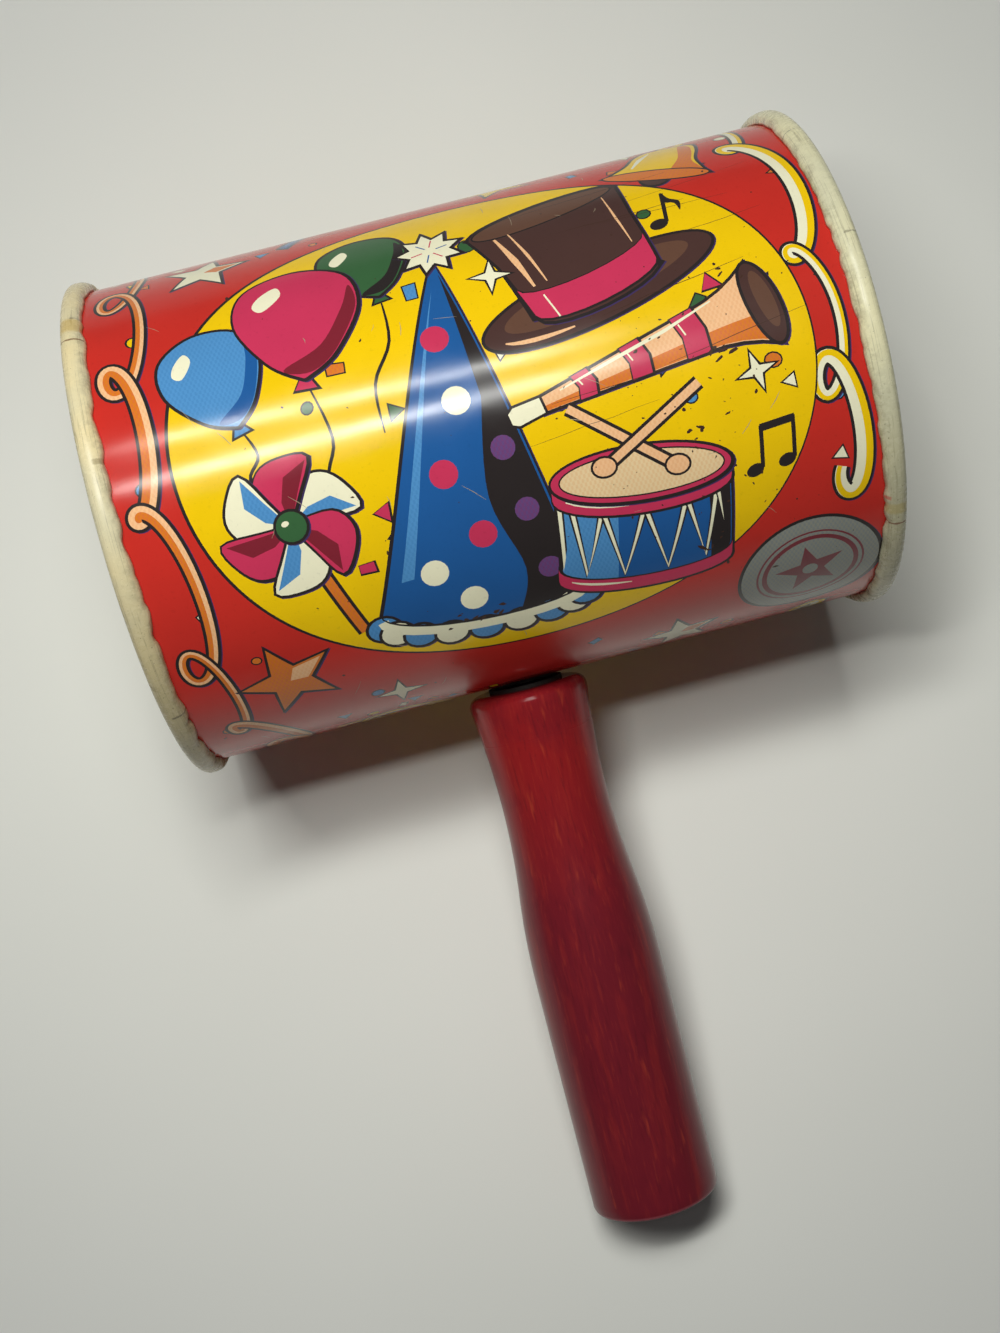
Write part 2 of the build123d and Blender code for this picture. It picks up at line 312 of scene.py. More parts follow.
# ---- motifs, each drawn round its own origin ----
def cone_hat(pen):
    """A tall paper hat with dots, a dark side, a frilled brim and a tassel."""
    half, height, sag, frills = 13, 46, 3.4, 9
    brim = arc(half, sag, 180, 360, 16)
    pen.inked("blue", [(0, height)] + brim)
    pen.fill("black", [(0.6, height - 2.4)] + through([(3.2, 26), (2.2, 14), (5.6, 4), (4.4, -2.9)], False)
            + arc(half, sag, 292, 354, 6))
    pen.fill("sky", [(-0.5, height - 5), (-9.8, 5), (-8.2, 5.2)])
    for x, y, ink in ((-5.6, 5.5, "cream"), (1, 9.5, "magenta"), (-2.6, 17.5, "magenta"),
            (0.2, 26, "cream"), (-1, 34, "magenta"), (-1.2, 1, "cream")):
        pen.fill(ink, oval(1.75, x=x, y=y))
    for x, y in ((8.6, 3.6), (6.6, 11.8), (4.8, 19.6)):
        pen.fill("violet", oval(1.5, x=x, y=y))
    for k in range(frills):
        turn = pi * (1 + (k + 0.5) / frills)
        pen.inked("cream" if k % 2 else "sky", oval(2, 1.8, x=half * cos(turn), y=sag * sin(turn) - 0.8))
    pen.fill("cream", ribbon(shifted(brim, 0, -0.3), [0.9] * len(brim), [0.5] * len(brim)))
    pen.stroke(shifted(brim, 0, 0.8), width=0.4)
    pen.inked("cream", [ray(4 if k % 2 else 2.5, k * pi / 9, y=height + 2.2) for k in range(18)])
    for k in range(6):
        spoke = [ray(reach, k * pi / 3 + 0.3, y=height + 2.2) for reach in (0.8, 2.3)]
        pen.stroke(spoke, "magenta" if k % 2 else "blue", 0.5)


def top_hat(pen):
    """A dark top hat with a bright band."""
    crown = [(-8.2, 0), (-9, 9), (-10.2, 15.5)] + arc(10.2, 2.4, 180, 0, 14, 15.5) + [(9, 9), (8.2, 0)]
    pen.inked("brown", oval(15.5, 4))
    pen.fill("sepia", oval(12.6, 2.6, y=0.5))
    pen.inked("brown", crown + arc(8.2, 2.2, 0, -180, 10))
    pen.inked("sepia", oval(9.6, 2, y=15.6), 0.25)
    pen.inked("magenta", [(-8.3, 0.4), (-8.7, 4.6)] + arc(8.7, 2.1, 180, 360, 10, 4.6)[1:]
            + [(8.3, 0.4)] + arc(8.3, 2.1, 0, -180, 10, 0.4)[1:-1], 0.25)
    for x, width in ((-6.6, 0.9), (-4.9, 0.45), (6.9, 0.35)):
        pen.stroke([(x, 4.2), (x * 1.04, 9), (x * 1.12, 14)], "peach", width)
    pen.stroke(arc(14.2, 3.2, 200, 250, 6), "peach", 0.6)
    pen.stroke([(-5.8, -1), (-6.2, 2.6)], "cream", 0.6)


def drum(pen):
    """A toy drum with cords, two hoops and a pair of sticks."""
    half, deep, sag, cords = 11.5, 12, 3.3, 6
    pen.inked("blue", [(-half, 0)] + arc(half, sag, 180, 360, 18, -deep) + [(half, 0)])
    pen.fill("sky", [(-half, 0)] + arc(half, sag, 180, 250, 8, -deep) + [(-3.4, 0)])
    pen.fill("black", [(8.6, 0), (8.9, -deep - 2)] + arc(half, sag, 322, 360, 5, -deep) + [(half, 0)])
    for k in range(cords):
        top, low, after = (pi * (1 + (k + shift) / cords) for shift in (0, 0.5, 1))
        pen.rod([(half * 0.98 * cos(top), sag * sin(top) - 1.2), (half * cos(low), sag * sin(low) - deep + 0.8),
                (half * 0.98 * cos(after), sag * sin(after) - 1.2)], "cream", 1.1, 0.55)
    for y in (-deep, 0):
        hoop = arc(half + 0.4, sag + 0.1, 180, 360, 18, y)
        pen.inked("magenta", hoop + shifted(hoop, 0, -2)[::-1], 0.3)
        pen.stroke(shifted(hoop[3:9], 0, -0.7), "cream", 0.4)
    pen.inked("magenta", oval(half + 0.4, sag + 0.3))
    pen.inked("skin", oval(half - 0.7, sag - 0.45, y=0.1), 0.2)
    for way, lift in ((1, 0), (-1, 1)):
        pen.rod([(-8.6 * way, 9.6 + lift), (4.4 * way, 0.6 + lift)], "peach", 1.9, 1.05)
        pen.inked("peach", oval(1.5, 1.2, x=4.8 * way, y=0.5 + lift), 0.3)


def horn(pen, main="peach", bands="magenta"):
    """A party horn: a long cone with bands, a wide bell and a mouthpiece."""
    length, bell = 31, 5.6
    stops = [length * k / 14 for k in range(15)]

    def wall(x):
        return 0.9 + 2.6 * (x / length) + (bell - 3.5) * max(0, (x / length - 0.72) / 0.28) ** 2.2

    def edge(share):
        return [(x, share * wall(x)) for x in stops]

    pen.inked(main, edge(1) + edge(-1)[::-1])
    pen.fill("amber", edge(-0.25) + edge(-0.97)[::-1])
    for start, stop in ((5, 7.2), (12, 14.6), (19.4, 22.4)):
        near, far = wall(start), wall(stop) + 0.25
        pen.inked(bands, [(start, near + 0.25), (stop, far), (stop + 0.5, 0), (stop, -far),
                (start, -near - 0.25), (start + 0.5, 0)], 0.28)
        pen.stroke([(start + 0.6, near * 0.75), (start + 0.9, near * 0.1)], "cream", 0.55)
    pen.inked("cream", [(-4.2, 0.7), (-3.4, 1.2), (0.2, 1), (0.2, -1), (-3.4, -1.2), (-4.2, -0.7)], 0.35)
    pen.inked("brown", oval(1.9, bell, x=length))
    pen.fill("sepia", oval(1.1, bell * 0.72, x=length + 0.35, y=0.3))
    pen.stroke([(3, 0.75), (11, 1.4), (18, 1.9), (25, 2.9)], "cream", 0.5)


def pinwheel(pen):
    """Six folded paper vanes on a stick."""
    pen.rod([(0, 0), (2, -19)], "amber", 2.1, 1.2)
    vane = [(4.6, -0.9), (9.6, -1.6), (9, 2.2), (6.9, 4.9), (3.4, 4.9), (0, 0.6)]
    fold = [(0, 0), (4.6, -0.6), (9.2, -1.3), (6.6, 1.5), (3.2, 1.5)]
    for k in range(6):
        turned = Pen(turn=60 * k)
        pen.inked("magenta" if k % 2 else "cream", turned.place([(0, 0)] + through(vane, False, 4)), 0.36)
        pen.fill("maroon" if k % 2 else "sky", turned.place(fold))
    pen.inked("green", oval(2.1), 0.36)
    pen.fill("cream", oval(0.55, 0.4, x=-0.6, y=0.7))


def balloon(pen, ink, shade, string):
    """A balloon with a knot, a window of light and a string that ends at a given point."""
    x, y = string
    pen.stroke(through([(0, -9), (x * 0.35 + 1.2, y * 0.4 - 5), (x * 0.7 - 0.8, y * 0.75), string], False, 5),
            width=0.45)
    pen.inked(ink, [(-1.3, -9.9), (1.3, -9.9), (0.3, -8.1), (-0.3, -8.1)], 0.3)
    pen.inked(ink, through([(0, 8.6), (6, 6.2), (7.4, 0.4), (4.2, -5.6), (0.7, -8.2), (-0.7, -8.2),
            (-4.2, -5.6), (-7.4, 0.4), (-6, 6.2)]))
    pen.fill(shade, through([(6.6, 4), (7.1, 0.2), (4.1, -5.4), (0.8, -7.8), (-2.4, -7), (2.4, -4.4),
            (5.4, 0.4)]))
    pen.fill("cream", through([(-4.3, 4.9), (-2.2, 6.2), (-1.7, 4.4), (-4, 2.2), (-5.2, 3.2)], True, 4))


def bell(pen):
    """A hand bell with a ring on top and its clapper showing."""
    half = [(1.4, 7.6), (3.6, 6.4), (4.6, 3), (5, -1), (6.6, -4.2), (7.6, -5.4)]
    pen.inked("brown", oval(1.9, y=-6.6))
    pen.inked("yellow", through(half, False, 4) + through([(-x, y) for x, y in half[::-1]], False, 4))
    pen.fill("amber", through([(1.6, 7), (3.4, 5.6), (4.4, 2), (4.9, -1.6), (6.9, -5), (2.2, -5.2), (2.6, 0)]))
    pen.inked("amber", oval(7.7, 1.5, y=-5.4), 0.3)
    pen.inked("yellow", oval(2, 1.8, y=9.2), 0.3)
    pen.fill("red", oval(0.9, 0.8, y=9.2))
    pen.stroke([(-2.6, 5), (-3.4, 1.6), (-3.9, -2.4)], "cream", 0.8)


def note(pen, pair=False):
    """A musical note, or two with a beam."""
    for x, y in ((0, 0), (6.2, 1.2))[:1 + pair]:
        pen.fill("black", shifted(Pen(turn=24).place(oval(1.75, 1.25)), x, y))
        pen.stroke([(x + 1.45, y + 0.4), (x + 1.45, y + 8.4)], width=0.55, taper=False)
    beam = [(1.2, 7.2), (7.9, 8.4), (7.9, 9.9), (1.2, 8.7)]
    flag = through([(1.3, 8.6), (2.6, 6.6), (4.4, 5.4), (4.2, 2.9), (3.4, 5), (1.4, 5.8)], True, 4)
    pen.fill("black", beam if pair else flag)


def blower(pen):
    """A party blower with its paper rolled up."""
    turns, steps = 2.4, 60
    coil = [ray(1.2 + 4.2 * k / steps, 2 * pi * turns * k / steps - 0.9, 9, 3) for k in range(steps + 1)]
    band(pen, (coil + [(4, 6.5), (0, 2.2)])[::2], "cream", "magenta", 1.7)
    pen.inked("blue", [(-8, -4.6), (-7.2, -6), (0.9, 1.4), (-0.6, 2.9)], 0.36)
    pen.stroke([(-6.6, -4.4), (-1.2, 1.2)], "sky", 0.6)


def four_point_star(pen, ink, half):
    pen.inked(ink, star(half, half * 0.3, 4), 0.3)


def party_star(pen, ink, half):
    """A five-pointed star with one side shaded."""
    pen.inked(ink, star(half, half * 0.42))
    pen.fill("peach" if ink == "amber" else "amber", [(0, 0)] + star(half * 0.86, half * 0.36)[:6:-1])


def medallion(pen):
    """A plain disc with rings and a star."""
    pen.inked("pale", oval(9.7, steps=60), 0.5)
    for radius, ink in ((7.6, "maroon"), (7.3, "pale"), (6.8, "maroon"), (6.1, "pale")):
        pen.fill(ink, oval(radius, steps=48))
    pen.fill("maroon", star(5, 2))
    pen.fill("pale", oval(1.1))


# ---- the print's layout: x along the can, y round it from its top towards the far side ----
AROUND = 2 * pi * WALL_RADIUS
SEAM = WALL_RADIUS * (SPINDLE_ANGLE + pi / 2)  # the wall's lock seam
DISH = WALL_RADIUS * SPINDLE_ANGLE  # where the spindle comes out on the far side
EYELET = DISH - AROUND / 2  # and where it goes in beside the handle
PANELS = {"front": (0.9, -4.2, 41, 35.3), "far": (0, 73.5, 37, 19), "near": (0, -91.5, 37, 19)}


def in_panel(x, y, margin):
    return any(hypot((x - px) / (rx - margin), (y - py) / (ry - margin)) < 1
        for px, py, rx, ry in PANELS.values())


def from_hole(x, y, hole):
    return hypot(x - SPINDLE_X, y - hole)


def on_ground(x, y):
    """True where the red ground has room for a loose bit of paper."""
    clear = min(from_hole(x, y, DISH), from_hole(x, y, EYELET)) > 9
    return clear and not in_panel(x, y, -2.5) and abs(x) < 45 and abs(y - SEAM) > 3


def confetti(rng, inks, count, inside, size=(0.7, 1.3)):
    """Loose bits of paper wherever inside(x, y) allows."""
    while count:
        x, y = rng.uniform(-46, 46), rng.uniform(-105, 96)
        if not inside(x, y):
            continue
        pen = Pen(x, y, rng.uniform(0, 360))
        half = rng.uniform(*size)
        bits = (oval(half, half * 0.85, 12),
                [(-half, -half * 0.6), (half, -half * 0.7), (half * 0.9, half * 0.6), (-half, half * 0.5)],
                [(-half, -half * 0.7), (half, -half * 0.6), (0, half)])
        bit = bits[rng.randrange(3)]
        pen.inked(rng.choice(inks), bit, 0.2)
        count -= 1


def curl(points, loops, side, lead, start):
    """A paper streamer's line: it winds about a smooth base line in even loops."""
    base = through(points, False, 44)
    line = []
    for k, (point, lean) in enumerate(zip(base, leans(base))):
        share = k / (len(base) - 1)
        turn = start + 2 * pi * loops * share + 0.5 * sin(17 * share)
        swell = 0.85 + 0.25 * sin(23 * share + start)
        out, on = side * swell * cos(turn), lead * swell * sin(turn)
        line.append((point[0] + lean[0] * out + lean[1] * on, point[1] + lean[1] * out - lean[0] * on))
    return line


def draw_motifs(*motifs):
    """Draws each motif at its x, y, turn and size, with what else it needs."""
    for motif, x, y, turn, size, *rest in motifs:
        motif(Pen(x, y, turn, size), *rest)


def draw_panel(name, seed, count, low, high, inks, *motifs):
    """A yellow oval with confetti between two heights, and motifs over it."""
    x, y, across, up = PANELS[name]
    Pen(x, y).inked("yellow", oval(across, up, 150), 0.34)
    confetti(Random(seed), inks, count, lambda x, y: low < y < high and in_panel(x, y, 3))
    draw_motifs(*motifs)


def draw_ground():
    """Streamers, stars and confetti on the red."""
    confetti(Random(22), ["cream", "yellow", "amber", "sky"], 96, on_ground, (0.5, 0.95))
    for ink, shade, width, loops, side, lead, start, points in (
            ("amber", "peach", 1.9, 8.5, 2.7, 6.2, 0, [(-34, 62), (-41, 48), (-42.5, 34), (-43.6, 16),
            (-43.9, -4), (-43.6, -24), (-42, -42), (-37, -56), (-41, -74)]),
            ("cream", "yellow", 2.1, 5.5, 2.6, 6, 1.4, [(36, 60), (42, 46), (40.5, 34), (43.4, 18), (44.3, -2),
            (43.2, -18), (44, -27)]),
            ("cream", "yellow", 2, 4, 2.5, 5, 1, [(42, -54), (37, -64), (43, -78), (41, -94), (44, -106)]),
            ("cream", "yellow", 1.7, 2, 2, 3.6, 0, [(-30, -57.5), (-20, -55), (-12, -61)])):
        band(Pen(), curl(points, loops, side, lead, start), ink, shade, width)
    draw_motifs(
        (party_star, -33.5, -35.5, 16, 1, "amber", 6.6), (party_star, -31.5, 30.5, -12, 1, "cream", 5.6),
        (party_star, 9.5, 38.5, 20, 1, "yellow", 5.4), (party_star, 20, -50.5, 8, 1, "cream", 5),
        (party_star, 30, 48.5, -10, 1, "amber", 5.8), (party_star, -25, -68.5, 22, 1, "yellow", 4.8),
        (bell, 32, 29.5, -22, 0.92), (blower, -16.5, 39.5, 24, 0.85), (blower, 13, -63.5, -12, 0.8),
        (four_point_star, -20, -45, 0, 1, "cream", 3.2), (four_point_star, 28.5, 37.5, 0, 1, "cream", 2.4),
        (four_point_star, -33, 44, 15, 1, "cream", 2.8))


def fleck(rng, size, length):
    """A ragged spot."""
    spin = rng.uniform(0, 2 * pi)
    turns = [2 * pi * k / 7 + spin for k in range(7)]
    return [(size * length * rng.uniform(0.5, 1.2) * cos(turn), size * rng.uniform(0.4, 1) * sin(turn))
            for turn in turns]


def draw_wear():
    """Hairline scratches, rubbed spots and specks, thickest on the right."""
    rng = Random(31)
    for k in range(9):
        x, y = rng.uniform(2, 30), rng.uniform(-16, 26)
        reach, drop = rng.uniform(9, 34), rng.uniform(-0.05, 0.16)
        line = [(x + reach * t / 6, y + drop * reach * t / 6 + rng.uniform(-0.14, 0.14)) for t in range(7)]
        Pen().stroke([point for point in line if point[0] < 46], "scar", rng.uniform(0.05, 0.10))
    for k in range(30):
        x, y, turn = rng.uniform(-40, 42), rng.uniform(-50, 34), rng.gauss(1.9, 0.7)
        end = ray(rng.uniform(0.8, 3.8), turn, x, y)
        middle = ((x + end[0]) / 2 + 0.1, (y + end[1]) / 2)
        Pen().stroke([(x, y), middle, end], "tin", rng.uniform(0.05, 0.11))
    for x_mean, y_mean, x_spread, y_spread, count in (
            (31.5, -5.5, 1.3, 0.7, 8), (26, -13.5, 1.6, 1, 7), (33.5, 2.5, 1, 1.2, 5),
            (-9, -32.5, 2.2, 0.8, 9), (24.5, -30, 1.2, 0.9, 5)):
        for k in range(count):
            x, y = rng.gauss(x_mean, x_spread), rng.gauss(y_mean, y_spread)
            Pen(x, y, rng.gauss(28, 22)).fill("scar", fleck(rng, rng.uniform(0.12, 0.36), rng.uniform(1, 2.6)))
    for k in range(230):
        if rng.random() < 0.35:
            x, y = rng.gauss(28, 9), rng.gauss(-9, 12)
        else:
            x, y = rng.uniform(-45, 45), rng.uniform(-105, 95)
        if abs(x) < 45:
            pen = Pen(x, y, rng.uniform(0, 180))
            pen.fill("scar", fleck(rng, min(0.07 + rng.expovariate(16), 0.3), rng.uniform(1, 1.8)))


def draw_print():
    """The whole sheet, in printing order; the front panel faces up when the noisemaker lies down."""
    few = ["magenta", "blue", "green", "cream"]
    draw_ground()
    draw_panel("front", 4, 62, -38, 30, few + ["amber", "sky"],
            (balloon, -10.5, 20.5, 8, 0.78, "green", "black", (-8, -32)),
            (balloon, -32.5, 7.5, 14, 0.86, "sky", "blue", (-2, -22)),
            (balloon, -20.5, 13.5, -4, 1.08, "magenta", "maroon", (2, -28)),
            (pinwheel, -27.5, -13.5, 12, 0.92), (cone_hat, -6.2, -30.5, -5, 1.05), (horn, 6.5, -6.6, 11, 1),
            (top_hat, 17.5, 6.4, 13, 1.04), (drum, 17, -18, -6, 0.98), (note, 31.4, -21.4, -6, 0.68, True),
            (note, 27.6, 14, -8, 0.72), (four_point_star, 34, -9, 10, 1, "cream", 2.5),
            (four_point_star, 4.8, 12.5, -8, 1, "cream", 2.6))
    draw_panel("far", 9, 26, 54, 94, few,
            (balloon, -24, 77.5, 10, 0.8, "magenta", "maroon", (6, -20)),
            (balloon, -14.5, 80.5, -8, 0.86, "blue", "black", (-4, -22)), (bell, 0.5, 72.5, -14, 1.15),
            (drum, 18.5, 76, 7, 0.88), (note, 31.5, 74, -8, 0.9), (four_point_star, 8, 86, 0, 1, "cream", 2.4))
    draw_panel("near", 15, 26, -106, -72, few,
            (cone_hat, -24, -102.5, 12, 0.58), (horn, -14, -94.5, 14, 0.86, "sky", "blue"),
            (top_hat, 20.5, -97, -12, 0.86), (note, -6, -84, 6, 0.8, True),
            (balloon, 6.5, -100.5, 8, 0.6, "amber", "peach", (0, -9)))
    draw_motifs((medallion, 37.9, -40.4, 10, 1))
    draw_wear()
    end = WALL_END + 1
    for side in (SEAM, SEAM - AROUND):
        Pen(0, side).fill("tin", [(-end, -0.5), (end, -0.5), (end, 0.5), (-end, 0.5)])


# ---- the printed wall: the flat print is cut into triangles and wrapped round the can ----
STEP_AROUND = 0.9  # rows of points under the print, so that the wall stays round
STEP_ALONG = 3.4
EDGE_REACH = 1.3  # longest reach round the can of one edge of the print
DISH_DEPTH = 1.2
DISH_FLOOR_RADIUS = 4.2
DISH_RIM_RADIUS = 5.6
DISH_CLEAR = 6.4  # the dish has rings of points of its own up to here
DISH_BLEND = 0.2
SPINDLE_BORE = 1.68
EYELET_HOLE = 2.08
SEAM_GROOVE = 0.14  # depth of the line where the wall's edges meet
SEAM_HALF = 0.35
SCREEN_X, SCREEN_Y = 0.6, 1.1  # pitch of the screen of dots along the can and round it
INKS = {
    "ground": rgb(197, 45, 36), "yellow": rgb(238, 196, 4), "blue": rgb(30, 88, 152),
    "sky": rgb(80, 142, 196), "magenta": rgb(198, 52, 88), "violet": rgb(108, 64, 114),
    "fringe": rgb(62, 47, 90), "green": rgb(54, 96, 58), "black": rgb(42, 36, 36), "brown": rgb(74, 50, 46),
    "sepia": rgb(98, 68, 54), "peach": rgb(240, 190, 142), "skin": rgb(232, 204, 158),
    "cream": rgb(238, 234, 202), "amber": rgb(214, 120, 34), "maroon": rgb(124, 34, 48),
    "red": rgb(197, 45, 36), "pale": rgb(150, 152, 140), "tin": rgb(158, 144, 120), "scar": rgb(66, 44, 34),
}
# Tints have a screen of dots of a second ink.
SCREENED = {"sky": "blue", "violet": "blue", "pale": "blue", "peach": "amber", "skin": "amber",
    "amber": "magenta"}


def smooth_least(first, second):
    share = max(DISH_BLEND - abs(first - second), 0) / DISH_BLEND
    return min(first, second) - share * share * DISH_BLEND / 4


def on_wall(x, y, sunk=0.0):
    """Where a point of the flat print lies on the can; sunk is its depth under the outside."""
    radius = WALL_RADIUS - sunk
    turn = y / WALL_RADIUS - SPINDLE_ANGLE
    side, height = radius * sin(turn), radius * cos(turn)
    reach = hypot(x - SPINDLE_X, side)
    if height > 0 and reach < 2 * DISH_RIM_RADIUS:
        slope = DISH_DEPTH / (DISH_RIM_RADIUS - DISH_FLOOR_RADIUS)
        climb = reach - DISH_FLOOR_RADIUS - sunk * (sqrt(1 + slope * slope) - 1) / slope
        height = smooth_least(height, WALL_RADIUS - DISH_DEPTH - sunk - smooth_least(0, -climb * slope))
    return CAN_MIDDLE + ALONG * x + SPINDLE * height + ACROSS * side


def wall_normal(x, y):
    """The direction that the outside faces, from the slope of the wall itself."""
    near = 0.05
    along = on_wall(x + near, y) - on_wall(x - near, y)
    about = on_wall(x, y + near) - on_wall(x, y - near)
    return about.cross(along).normalized()


def hole_edge(middle, radius, steps=40):
    """A round hole along the spindle's line, on the flat print."""
    return [(SPINDLE_X + x, middle + WALL_RADIUS * asin(y / WALL_RADIUS)) for x, y in oval(radius, steps=steps)]


def divided(outline):
    """An outline with its long edges divided, because an edge is straight and the wall is round."""
    fine = []
    for (ax, ay), (bx, by) in around(outline):
        parts = max(1, ceil(abs(by - ay) / EDGE_REACH))
        fine += [(ax + (bx - ax) * k / parts, ay + (by - ay) * k / parts) for k in range(parts)]
    return fine


def cut_sheet(outline, holes, inked, loose):
    """Cuts a flat outline into triangles; returns points, triangles and the ink of each."""
    points, faces, inks = [], [], []
    inked = [(ink, divided(edge)) for ink, edge in inked]
    for ink, edge in [("ground", outline)] + inked + [(None, hole) for hole in holes]:
        faces.append(list(range(len(points), len(points) + len(edge))))
        points += edge if area_of(edge) > 0 else edge[::-1]
        inks.append(ink)
    made = delaunay_2d_cdt([Vector(point) for point in points + loose], [], faces, 0, 1e-6, True)
    kept = [(tuple(corners), inks[max(covers)]) for corners, covers in zip(made[2], made[5])
            if 0 in covers and inks[max(covers)] is not None]
    return [tuple(point) for point in made[0]], [corners for corners, _ in kept], [ink for _, ink in kept]


def loops_of(triangles):
    """The closed runs of edges that only one triangle has, in that triangle's direction."""
    edges = dict.fromkeys(edge for corners in triangles for edge in around(corners))
    following = {a: b for a, b in edges if (b, a) not in edges}
    loops = []
    while following:
        loop = [next(iter(following))]
        while following[loop[-1]] != loop[0]:
            loop.append(following[loop[-1]])
        for point in loop:
            del following[point]
        loops.append(loop)
    return loops


def new_mesh(name, points, faces):
    """A smooth mesh from points in millimetres."""
    mesh = bpy.data.meshes.new(name)
    mesh.from_pydata([point * MM for point in points], [], faces)
    mesh.polygons.foreach_set("use_smooth", [True] * len(mesh.polygons))
    return mesh


def keep(mesh, name, vectors):
    """Stores a vector for each of a mesh's points."""
    values = [value for vector in vectors for value in vector]
    mesh.attributes.new(name, "FLOAT_VECTOR", "POINT").data.foreach_set("vector", values)


def mend(mesh, change):
    """Makes one change with bmesh."""
    work = bmesh.new()
    work.from_mesh(mesh)
    change(work)
    work.to_mesh(mesh)
    work.free()


def make_wall(materials):
    """The can's wall with its print, its inside, and the edges of its holes and ends."""
    low, high = SEAM - AROUND, SEAM
    rows, columns = ceil(AROUND / STEP_AROUND), ceil(2 * WALL_END / STEP_ALONG)
    ys = [low + AROUND * k / rows for k in range(rows + 1)]
    xs = [-WALL_END + 2 * WALL_END * k / columns for k in range(columns + 1)]
    outline = [(x, low) for x in xs] + [(WALL_END, y) for y in ys[1:-1]]
    outline += [(x, high) for x in xs[::-1]] + [(-WALL_END, y) for y in ys[-2:0:-1]]
    dish_rings = [DISH_FLOOR_RADIUS + share * (DISH_RIM_RADIUS - DISH_FLOOR_RADIUS)
            for share in (-1.2, -0.3, -0.1, 0.1, 0.35, 0.65, 0.88, 1, 1.12, 1.35)]
    loose = [point for radius in dish_rings for point in hole_edge(DISH, radius, 56)]
    for shift in (0.1, 0.22, SEAM_HALF):
        loose += [(x, y) for x in xs[1:-1] for y in (low + shift, high - shift)]
    for k, y in enumerate(ys[1:-1]):
        row = [x + (STEP_ALONG / 2 if k % 2 else 0) for x in xs[1:-1]]
        loose += [(x, y) for x in row if from_hole(x, y, DISH) > DISH_CLEAR and x < WALL_END - 0.5]
    holes = [hole_edge(DISH, SPINDLE_BORE), hole_edge(EYELET, EYELET_HOLE)]
    flat, triangles, inks = cut_sheet(outline, holes, shapes, loose)

    edges = sorted(loops_of(triangles), key=len, reverse=True)
    loose = [(x, y) for x in xs[2:-1:3] for y in ys[2:-2:3]
            if from_hole(x, y, DISH) > DISH_CLEAR and from_hole(x, y, EYELET) > 3]
    loose += [point for radius in dish_rings[1::2] for point in hole_edge(DISH, radius, 28)]
    bounds = [[flat[k] for k in loop] for loop in edges]
    inner_flat, inner_triangles, _ = cut_sheet(bounds[0], bounds[1:], [], loose)

    def off_seam(y):
        return min(high - y, y - low)

    first = len(flat)
    points = [on_wall(x, y, SEAM_GROOVE * max(0, 1 - off_seam(y) / SEAM_HALF) ** 0.7) for x, y in flat]
    points += [on_wall(x, y, TIN) for x, y in inner_flat]
    lookup = {(round(x, 4), round(y, 4)): first + k for k, (x, y) in enumerate(inner_flat)}
    faces = [corners[::-1] for corners in triangles]
    faces += [tuple(first + k for k in corners) for corners in inner_triangles]
    for loop in edges:
        for a, b in around(loop):
            if max(off_seam(flat[a][1]), off_seam(flat[b][1])) >= 1e-4:
                c, d = (lookup[(round(flat[k][0], 4), round(flat[k][1], 4))] for k in (a, b))
                faces.append((a, b, d, c))
    kinds = inks + ["tin"] * (len(faces) - len(inks))

    mesh = new_mesh("printed_wall", points, faces)
    names = sorted(set(kinds))
    for name in names:
        mesh.materials.append(materials[name])
    mesh.polygons.foreach_set("material_index", [names.index(kind) for kind in kinds])
    keep(mesh, "unrolled", [(x, y, 0) for x, y in flat + inner_flat])
    lay_out(mesh, flat + inner_flat, first)
    weld_seam(mesh, [wall_normal(x, y) for x, y in flat] + [-wall_normal(x, y) for x, y in inner_flat])
    return mesh


def lay_out(mesh, flat, outer_count):
    """A map of the wall for its baked picture: the print takes nearly all of it."""
    layer = mesh.uv_layers.new(name="OFBake")
    for loop in mesh.loops:
        x, y = flat[loop.vertex_index]
        across, along = (x + WALL_END) / (2 * WALL_END), (y - SEAM + AROUND) / AROUND
        start, width = (0.005, 0.94) if loop.vertex_index < outer_count else (0.96, 0.035)
        layer.data[loop.index].uv = (start + across * width, 0.005 + along * 0.99)


def weld_seam(mesh, normals):
    """Joins the wall's two edges, keeping the direction that each corner faces."""
    keep(mesh, "facing", normals)
    mend(mesh, lambda work: bmesh.ops.remove_doubles(work, verts=work.verts, dist=0.002 * MM))
    facing = mesh.attributes["facing"].data
    mesh.normals_split_custom_set_from_vertices([facing[k].vector[:] for k in range(len(mesh.vertices))])
    mesh.attributes.remove(mesh.attributes["facing"])


def screen(paint, flat):
    """A printer's screen of dots, 0 between them and 1 on them."""
    parts = paint.axes(flat)
    along = paint.times(parts["X"], 2 * pi / SCREEN_X)
    lines = [paint.math("SINE", paint.math("ADD", paint.times(parts["Y"], way * 2 * pi / SCREEN_Y), along))
            for way in (1, -1)]
    return paint.step(paint.math("ADD", *lines), -0.3, 0.5)


def ink(name, colour):
    """Printing ink under clear lacquer, with mottle, rubbed spots and, in tints, a fine screen of dots."""
    paint = Shader("ink_" + name, colour, 0.3)
    flat = paint.place("unrolled")
    cloud, fine = paint.noise(flat, 0.11, 4), paint.noise(flat, 1.6)
    paint.shade = paint.mix(cloud, darker(colour, 0.9), darker(colour, 1.08))
    if name in SCREENED:
        paint.stain(paint.mix(0.34, colour, INKS[SCREENED[name]]), 0.5, screen(paint, flat))
    paint.stain(darker(colour, 0.7), 0.3, paint.step(fine, 0.58, 0.74))
    rough = paint.between(paint.step(cloud, 0.35, 0.7), 0.14, 0.2)
    return paint.finish(rough, paint.noise(flat, 0.5), 0.02, 0.25)


